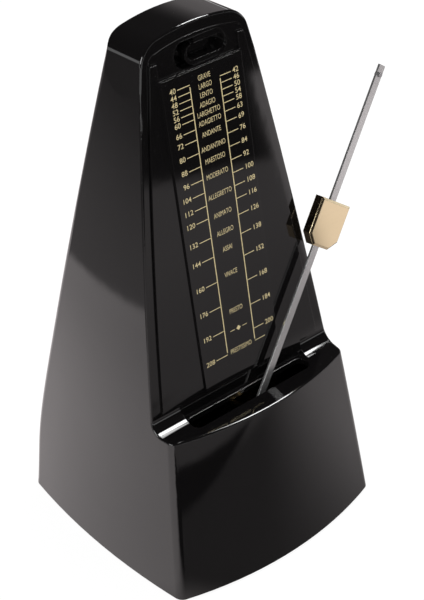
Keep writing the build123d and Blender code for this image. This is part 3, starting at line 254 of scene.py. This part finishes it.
def bump(tree, shader, heights, rounding=0.0):
    """Stacks (height, depth in metres) bumps on the shader, over rounded edges."""
    normal = None
    if rounding:
        bevel = node(tree, "ShaderNodeBevel", samples=6)
        bevel.inputs["Radius"].default_value = rounding
        normal = bevel.outputs["Normal"]
    for height, depth in heights:
        made = node(tree, "ShaderNodeBump")
        made.inputs["Distance"].default_value = depth
        link(tree, height, made.inputs["Height"])
        if normal:
            link(tree, normal, made.inputs["Normal"])
        normal = made.outputs["Normal"]
    link(tree, normal, shader.inputs["Normal"])


def new_material(name, **constants):
    """A material with its tree and its shader, whose sockets take the constants."""
    material = bpy.data.materials.new(name)
    material.use_nodes = True
    tree = material.node_tree
    shader = tree.nodes["Principled BSDF"]
    for socket, value in constants.items():
        shader.inputs[socket.replace("_", " ")].default_value = value
    return material, tree, shader


# ------------------------------------------------------------------ materials
def gloss_plastic(name, colour, rounding, smooth=0.035, hazy=0.075):
    """Polished black moulding with a faint orange peel, haze and dust."""
    material, tree, shader = new_material(name, IOR=1.68)
    haze = noise(tree, 34, 4)
    dust = specks(tree, 420, 0.05)
    link(tree, blend_colours(tree, dust, colour, DUST), shader.inputs["Base Color"])
    rough = spread(tree, haze, smooth, hazy)
    link(tree, blend_values(tree, dust, rough, 0.4), shader.inputs["Roughness"])
    peel = (noise(tree, 190, 1), 0.0045 * MM)
    waves = (noise(tree, 26, 1), 0.03 * MM)
    bump(tree, shader, [peel, waves], rounding)
    return material


def moulded_plastic(name, colour, grain):
    """Matt plastic with a fine sand-like grain."""
    material, tree, shader = new_material(name)
    sand = noise(tree, grain, 3)
    lighter = tuple(c * 1.8 + 0.004 for c in colour)
    link(tree, blend_colours(tree, sand, colour, lighter), shader.inputs["Base Color"])
    link(tree, spread(tree, noise(tree, 90, 3), 0.42, 0.66), shader.inputs["Roughness"])
    bump(tree, shader, [(sand, 0.06 * MM)], 0.3 * MM)
    return material


def rubber(name):
    """Black rubber, grimy and a little grey in patches."""
    material, tree, shader = new_material(name)
    grime = noise(tree, 240, 5)
    colour = blend_colours(tree, grime, (0.012, 0.012, 0.012), (0.05, 0.048, 0.045))
    link(tree, colour, shader.inputs["Base Color"])
    link(tree, spread(tree, grime, 0.65, 0.9), shader.inputs["Roughness"])
    bump(tree, shader, [(noise(tree, 900, 3), 0.08 * MM)], 0.4 * MM)
    return material


def metal(
        name, colour, dark, smooth, rough, grain=(1, 1, 1), turn=(0, 0, 0),
        rounding=0.15 * MM, depth=0.004 * MM, metallic=1.0):
    """Metal with a machined grain, tarnish in patches and fine scratches."""
    material, tree, shader = new_material(name, Metallic=metallic)
    lines = noise(tree, 900, 3, grain, turn)
    tarnish = noise(tree, 55, 5)
    link(tree, blend_colours(tree, tarnish, colour, dark), shader.inputs["Base Color"])
    mixed = calculate(tree, "MULTIPLY_ADD", lines, 0.6, calculate(tree, "MULTIPLY", tarnish, 0.4))
    link(tree, spread(tree, mixed, smooth, rough), shader.inputs["Roughness"])
    bump(tree, shader, [(lines, depth)], rounding)
    return material


def blued_steel(name):
    """Spring steel, tempered from straw to deep blue."""
    material, tree, shader = new_material(name, Metallic=1.0)
    temper = noise(tree, 130, 3)
    colour = blend_colours(tree, temper, (0.05, 0.09, 0.26), (0.26, 0.2, 0.22))
    link(tree, colour, shader.inputs["Base Color"])
    link(tree, spread(tree, noise(tree, 700, 2), 0.2, 0.36), shader.inputs["Roughness"])
    bump(tree, shader, [(noise(tree, 1400, 2), 0.004 * MM)])
    return material


def gold_ink(name):
    """Pale gold screen print, a little uneven and thin in places."""
    material, tree, shader = new_material(name, Metallic=0.25)
    wear = noise(tree, 1500, 4)
    colour = blend_colours(tree, wear, (1.0, 0.88, 0.52), (0.92, 0.74, 0.38))
    link(tree, colour, shader.inputs["Base Color"])
    link(tree, spread(tree, wear, 0.3, 0.5), shader.inputs["Roughness"])
    bump(tree, shader, [(wear, 0.006 * MM)])
    return material


def make_materials():
    """One material for each slot of the part."""
    return {
        "case_black": gloss_plastic("polished_case_plastic", BLACK, CASE_ROUNDING),
        "panel_black": gloss_plastic("polished_panel_plastic", BLACK, PANEL_ROUNDING, 0.03, 0.06),
        "scale_black": gloss_plastic("lacquered_scale_plate", BLACK, PLATE_ROUNDING, 0.03, 0.05),
        "base_black": moulded_plastic("grained_base_plastic", (0.012, 0.012, 0.012), 1600),
        "bush_black": moulded_plastic("smooth_bush_plastic", (0.010, 0.010, 0.010), 2600),
        "foot_rubber": rubber("foot_rubber"),
        "screw_steel": metal("zinc_screw_steel", STEEL, DULL_STEEL, 0.2, 0.38),
        "frame_steel": metal("satin_frame_steel", STEEL, DULL_STEEL, 0.26, 0.42, ALONG_Z),
        "arbor_steel": metal("turned_arbor_steel", STEEL, DULL_STEEL, 0.12, 0.26, ALONG_ARBOR),
        "gear_brass": metal("satin_gear_brass", BRASS, DULL_BRASS, 0.18, 0.34),
        "spring_steel": blued_steel("blued_spring_steel"),
        "rod_steel": metal(
            "drawn_rod_steel", (0.68, 0.68, 0.68), (0.60, 0.60, 0.60), 0.18, 0.26,
            ALONG_Z, ROD_TURN, metallic=0.85),
        "weight_champagne": metal(
            "champagne_weight_metal", (0.84, 0.70, 0.46), (0.79, 0.65, 0.42), 0.07, 0.13,
            ALONG_X, ROD_TURN, 0.4 * MM, 0.001 * MM),
        "counterweight_metal": metal(
            "cast_counterweight_metal", (0.30, 0.29, 0.27), (0.14, 0.13, 0.12), 0.4, 0.7),
        "key_brass": metal("polished_key_brass", BRASS, DULL_BRASS, 0.08, 0.2),
    }


def dress_nodes(frame, materials):
    """Gives each piece of the part the material of its slot."""
    slots = {part["node"]: part["material_slot"] for part in frame["record"]["subparts"]}
    for name, piece in frame["nodes"].items():
        piece.data.materials.clear()
        piece.data.materials.append(materials[slots[name]])


# -------------------------------------------------------------- printed scale
def plate_matrix(x, height):
    """Axes on the front of the scale plate: X along it, Y up it, Z out of it."""
    low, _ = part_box("scale_plate")
    up = Vector((0, LEAN, 1)).normalized()
    out = Vector((0, -1, LEAN)).normalized()
    at = Vector((x, low.y + (height - low.z) * LEAN, height)) + out * INK / 2
    return Matrix((
        (1, up.x, out.x, at.x),
        (0, up.y, out.y, at.y),
        (0, up.z, out.z, at.z),
        (0, 0, 0, 1),
    ))


def add_block(mesh, x0, x1, half_height, height):
    """Thin raised bar of ink between two places across the plate."""
    middle = plate_matrix((x0 + x1) / 2, height)
    made = bmesh.ops.create_cube(mesh, size=1.0)
    size = Matrix.Diagonal((abs(x1 - x0), 2 * half_height, INK, 1))
    bmesh.ops.transform(mesh, matrix=middle @ size, verts=made["verts"])


def add_text(mesh, words, x, height, size, align, squeeze, widening):
    """Flat raised lettering, turned from a text curve into mesh."""
    curve = bpy.data.curves.new("lettering", "FONT")
    curve.body = words
    curve.size = size
    curve.align_x = align
    curve.align_y = "CENTER"
    curve.offset = size * widening
    curve.extrude = INK / 2
    curve.resolution_u = 4
    text = bpy.data.objects.new("lettering", curve)
    bpy.context.scene.collection.objects.link(text)
    bpy.context.view_layer.update()
    letters = bpy.data.meshes.new_from_object(text)
    letters.transform(plate_matrix(x, height) @ Matrix.Diagonal((squeeze, 1, 1, 1)))
    mesh.from_mesh(letters)
    bpy.data.objects.remove(text)
    bpy.data.meshes.remove(letters)
    bpy.data.curves.remove(curve)


def finish_print(name, mesh, ink):
    """Turns a mesh of print into a piece that rides the case."""
    data = bpy.data.meshes.new(name)
    mesh.to_mesh(data)
    mesh.free()
    piece = bpy.data.objects.new(name, data)
    bpy.context.scene.collection.objects.link(piece)
    data.materials.append(ink)
    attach(piece, "case")


def tick_height(beats):
    """Height of the tick for a number of beats in a minute."""
    return SLOWEST_HEIGHT - (beats - SLOWEST) * HEIGHT_PER_BEAT


def print_scale(ink):
    """Two upright lines with a tick and a number for each tempo."""
    lines = bmesh.new()
    numbers = bmesh.new()
    fastest = tick_height(LEFT_NUMBERS[-1])
    sides = (
        (LEFT_LINE, LEFT_TICK_END, LEFT_NUMBER_END, "RIGHT", LEFT_NUMBERS),
        (RIGHT_LINE, RIGHT_TICK_END, RIGHT_NUMBER_START, "LEFT", RIGHT_NUMBERS),
    )
    for line, tick_end, number_at, align, beats in sides:
        top = tick_height(beats[0]) + TICK_WIDTH / 2
        low = fastest - TICK_WIDTH / 2
        half_line = LINE_WIDTH / 2
        add_block(lines, line - half_line, line + half_line, (top - low) / 2, (top + low) / 2)
        for beat in beats:
            add_block(lines, line, tick_end, TICK_WIDTH / 2, tick_height(beat))
            add_text(
                numbers, str(beat), number_at, tick_height(beat), NUMBER_SIZE, align,
                NUMBER_SQUEEZE, NUMBER_SPREAD)
    add_block(lines, RIGHT_LINE, RIGHT_TICK_END, TICK_WIDTH / 2, fastest)
    finish_print("scale_lines", lines, ink)
    finish_print("scale_numbers", numbers, ink)


def print_words(ink):
    """The tempo words down the middle of the scale."""
    words = bmesh.new()
    for word, height in WORDS.items():
        add_text(
            words, word, SCALE_CENTRE, height * MM, WORD_SIZE, "CENTER",
            WORD_SQUEEZE, WORD_SPREAD)
    finish_print("tempo_words", words, ink)


def print_ornament(ink):
    """Plain lozenge between two short rules, above the last tempo word."""
    ornament = bmesh.new()
    for side in (-1, 1):
        start = SCALE_CENTRE + side * RULE_START
        add_block(ornament, start, start + side * RULE_LENGTH, RULE_WIDTH / 2, ORNAMENT_HEIGHT)
    lozenge = bmesh.ops.create_cone(
        ornament, cap_ends=True, segments=4,
        radius1=LOZENGE_RADIUS, radius2=LOZENGE_RADIUS, depth=INK)
    middle = plate_matrix(SCALE_CENTRE, ORNAMENT_HEIGHT)
    bmesh.ops.transform(ornament, matrix=middle, verts=lozenge["verts"])
    finish_print("scale_ornament", ornament, ink)


# --------------------------------------------------------------------- camera
def make_camera():
    """Looks down on the object from the front left."""
    azimuth = radians(CAMERA_AZIMUTH)
    elevation = radians(CAMERA_ELEVATION)
    back = Vector((sin(azimuth) * cos(elevation), -cos(azimuth) * cos(elevation), sin(elevation)))
    level = (-back).cross(Vector((0, 0, 1))).normalized()
    upright = level.cross(-back)
    roll = radians(CAMERA_ROLL)
    right = cos(roll) * level + sin(roll) * upright
    up = cos(roll) * upright - sin(roll) * level
    data = bpy.data.cameras.new("camera")
    data.lens = CAMERA_LENS
    data.sensor_width = SENSOR
    data.sensor_fit = "AUTO"
    data.shift_y = CAMERA_SHIFT_Y
    data.clip_start, data.clip_end = CAMERA_CLIP
    camera = bpy.data.objects.new("camera", data)
    place = CAMERA_TARGET + back * CAMERA_DISTANCE
    camera.matrix_world = Matrix((
        (right.x, up.x, back.x, place.x),
        (right.y, up.y, back.y, place.y),
        (right.z, up.z, back.z, place.z),
        (0, 0, 0, 1),
    ))
    bpy.context.scene.collection.objects.link(camera)
    bpy.context.scene.camera = camera


# --------------------------------------------------------------------- studio
def plane(name, half, height):
    """Level square of the studio, centred over the object's middle."""
    data = bpy.data.meshes.new(name)
    corners_at = [(-half, -half, 0), (half, -half, 0), (half, half, 0), (-half, half, 0)]
    data.from_pydata(corners_at, [], [(0, 1, 2, 3)])
    made = bpy.data.objects.new(name, data)
    made.matrix_world = Matrix.Translation((0, 0, height))
    bpy.context.scene.collection.objects.link(made)
    return made


def background_share(tree):
    """1 for the rays that see the background: camera, glossy and transmission."""
    path = node(tree, "ShaderNodeLightPath")
    seen = calculate(tree, "MAXIMUM", path.outputs["Is Camera Ray"], path.outputs["Is Glossy Ray"])
    return calculate(tree, "MAXIMUM", seen, path.outputs["Is Transmission Ray"]), path


def front_light(tree, x, y, forward):
    """The table in front: dim by the case, then grey with a bright card, then its end."""
    further_out = calculate(tree, "SUBTRACT", forward, FRONT_SKEW_START)
    skew = calculate(tree, "MULTIPLY", further_out, FRONT_SKEW)
    front = ease(tree, calculate(tree, "SUBTRACT", x, skew), *FRONT_RAMP)
    further = ease(tree, forward, *FURTHER_RAMP)
    front = blend_values(tree, ease(tree, forward, *FURTHER_START), front, further)
    card = ease(tree, calculate(tree, "MULTIPLY_ADD", forward, CARD_SLOPE, x), *CARD_EDGE)
    card = calculate(tree, "MULTIPLY", card, ease(tree, forward, *CARD_START))
    front = blend_values(tree, card, front, CARD_GLOW)
    reach = calculate(tree, "MULTIPLY", card, CARD_REACH)
    beyond = calculate(tree, "SUBTRACT", along(tree, x, y, OUTWARD), reach)
    return blend_values(tree, ease(tree, beyond, *OUTWARD_END), front, BEYOND_GLOW)


def left_light(tree, x, y):
    """The table on the left: bright by the case, fading outwards, and dim past its end."""
    edge = along(tree, x, y, LEFTWARD)
    backwards = ease(tree, y, *LEFT_BACK_RAMP)
    left = calculate(tree, "MULTIPLY", backwards, ease(tree, edge, *LEFT_RAMP))
    far = ease(tree, edge, *LEFT_FAR_RAMP)
    return blend_values(tree, ease(tree, edge, *LEFT_END), left, far)


def dark_strip(tree, x, y, forward):
    """1 on the dark strip in front, whose right edge bends to the right further out."""
    further_out = calculate(tree, "SUBTRACT", forward, DARK_START)
    bend = calculate(tree, "MAXIMUM", calculate(tree, "MULTIPLY", further_out, DARK_BEND), 0.0)
    bend = calculate(tree, "POWER", bend, DARK_POWER)
    limit = calculate(tree, "MULTIPLY_ADD", bend, DARK_WIDTH, DARK_SIDE)
    inside = ease(tree, calculate(tree, "SUBTRACT", x, limit), *DARK_EDGE)
    in_front = ease(tree, calculate(tree, "SUBTRACT", x, y), *DARK_FRONT)
    in_front = calculate(tree, "MULTIPLY", in_front, ease(tree, forward, *DARK_END))
    return calculate(tree, "MULTIPLY", inside, in_front)


def table_light(tree):
    """How bright each place of the table looks in the polished faces."""
    coordinates = node(tree, "ShaderNodeTexCoord")
    split = node(tree, "ShaderNodeSeparateXYZ")
    link(tree, coordinates.outputs["Object"], split.inputs[0])
    x, y = split.outputs["X"], split.outputs["Y"]
    forward = calculate(tree, "MULTIPLY", y, -1.0)
    front = front_light(tree, x, y, forward)
    right = blend_values(tree, ease(tree, y, *RIGHT_START), front, RIGHT_GLOW)
    to_left = ease(tree, calculate(tree, "SUBTRACT", y, x), *SIDES_MEET)
    value = blend_values(tree, to_left, right, left_light(tree, x, y))
    return blend_values(tree, dark_strip(tree, x, y, forward), value, DARK_GLOW)


def make_floor():
    """White table under the feet, which keeps the object's shadow."""
    low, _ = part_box("rubber_feet")
    floor = plane("floor", TABLE_HALF, low.z)
    material = bpy.data.materials.new("white_table")
    material.use_nodes = True
    tree = material.node_tree
    tree.nodes.clear()
    share, path = background_share(tree)
    reflected = table_light(tree)
    strength = blend_values(tree, path.outputs["Is Glossy Ray"], TABLE_GLOW, reflected)
    glow = node(tree, "ShaderNodeEmission")
    link(tree, strength, glow.inputs["Strength"])
    tint = blend_colours(tree, path.outputs["Is Glossy Ray"], (1, 1, 1), REFLECTED_TINT)
    link(tree, tint, glow.inputs["Color"])
    lit = node(tree, "ShaderNodeBsdfDiffuse")
    lit.inputs["Color"].default_value = TABLE_GREY
    with_shadow = node(tree, "ShaderNodeAddShader")
    link(tree, glow.outputs[0], with_shadow.inputs[0])
    link(tree, lit.outputs[0], with_shadow.inputs[1])
    seen = node(tree, "ShaderNodeMixShader")
    link(tree, path.outputs["Is Camera Ray"], seen.inputs[0])
    link(tree, glow.outputs[0], seen.inputs[1])
    link(tree, with_shadow.outputs[0], seen.inputs[2])
    bounce = node(tree, "ShaderNodeBsdfDiffuse")
    bounce.inputs["Color"].default_value = BOUNCE_GREY
    mixed = node(tree, "ShaderNodeMixShader")
    link(tree, share, mixed.inputs[0])
    link(tree, bounce.outputs[0], mixed.inputs[1])
    link(tree, seen.outputs[0], mixed.inputs[2])
    output = node(tree, "ShaderNodeOutputMaterial")
    link(tree, mixed.outputs[0], output.inputs["Surface"])
    floor.data.materials.append(material)


def only_reflected(thing):
    """The thing shows in reflections and nowhere else."""
    thing.visible_camera = False
    thing.visible_diffuse = False
    thing.visible_transmission = False
    thing.visible_volume_scatter = False
    thing.visible_shadow = False


def make_ceiling_flag():
    """Black cloth over the set, so that the polished top looks dark."""
    flag = plane("ceiling_flag", FLAG_HALF, FLAG_HEIGHT)
    material = bpy.data.materials.new("black_cloth")
    material.use_nodes = True
    tree = material.node_tree
    tree.nodes.clear()
    # black overhead, paler towards the back right
    coordinates = node(tree, "ShaderNodeTexCoord")
    split = node(tree, "ShaderNodeSeparateXYZ")
    link(tree, coordinates.outputs["Object"], split.inputs[0])
    away = along(tree, split.outputs["X"], split.outputs["Y"], FLAG_BACK_RIGHT)
    glow = node(tree, "ShaderNodeEmission")
    glow.inputs["Color"].default_value = (*REFLECTED_TINT, 1)
    link(tree, ease(tree, away, *FLAG_RAMP), glow.inputs["Strength"])
    output = node(tree, "ShaderNodeOutputMaterial")
    link(tree, glow.outputs[0], output.inputs["Surface"])
    flag.data.materials.append(material)
    only_reflected(flag)


def make_softbox(name, direction, distance, size, power):
    """Rectangular lamp that faces the object."""
    data = bpy.data.lights.new(name, "AREA")
    data.shape = "RECTANGLE"
    data.size, data.size_y = size
    data.energy = power
    lamp = bpy.data.objects.new(name, data)
    away = Vector(direction).normalized()
    lamp.location = away * distance + LAMP_AIM
    lamp.rotation_mode = "QUATERNION"
    lamp.rotation_quaternion = away.to_track_quat("Z", "Y")
    bpy.context.scene.collection.objects.link(lamp)


def make_world():
    """White backdrop, which lights the object less than it shows."""
    world = bpy.data.worlds.new("studio")
    bpy.context.scene.world = world
    world.use_nodes = True
    tree = world.node_tree
    tree.nodes.clear()
    share, _ = background_share(tree)
    strength = blend_values(tree, share, WORLD_LIGHT, WORLD_SEEN)
    sky = node(tree, "ShaderNodeBackground")
    sky.inputs["Color"].default_value = (1, 1, 1, 1)
    link(tree, strength, sky.inputs["Strength"])
    output = node(tree, "ShaderNodeOutputWorld")
    link(tree, sky.outputs[0], output.inputs["Surface"])


def make_studio():
    """Table, black cloth, backdrop and lamps."""
    make_floor()
    make_ceiling_flag()
    make_world()
    for name, values in SOFTBOXES.items():
        make_softbox(name, *values)
    bpy.context.scene.view_settings.view_transform = "Standard"


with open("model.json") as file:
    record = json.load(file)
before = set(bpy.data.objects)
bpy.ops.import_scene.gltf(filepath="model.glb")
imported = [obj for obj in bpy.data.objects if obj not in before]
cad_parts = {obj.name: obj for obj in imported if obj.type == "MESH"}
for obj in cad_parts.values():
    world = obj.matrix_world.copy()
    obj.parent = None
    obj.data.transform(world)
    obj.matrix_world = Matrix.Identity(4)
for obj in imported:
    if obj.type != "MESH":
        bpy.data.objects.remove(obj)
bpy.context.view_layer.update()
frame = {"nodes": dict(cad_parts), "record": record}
make_camera()
dress_nodes(frame, make_materials())
ink = gold_ink("pale_gold_ink")
print_scale(ink)
print_words(ink)
print_ornament(ink)
make_studio()
bpy.context.view_layer.update()
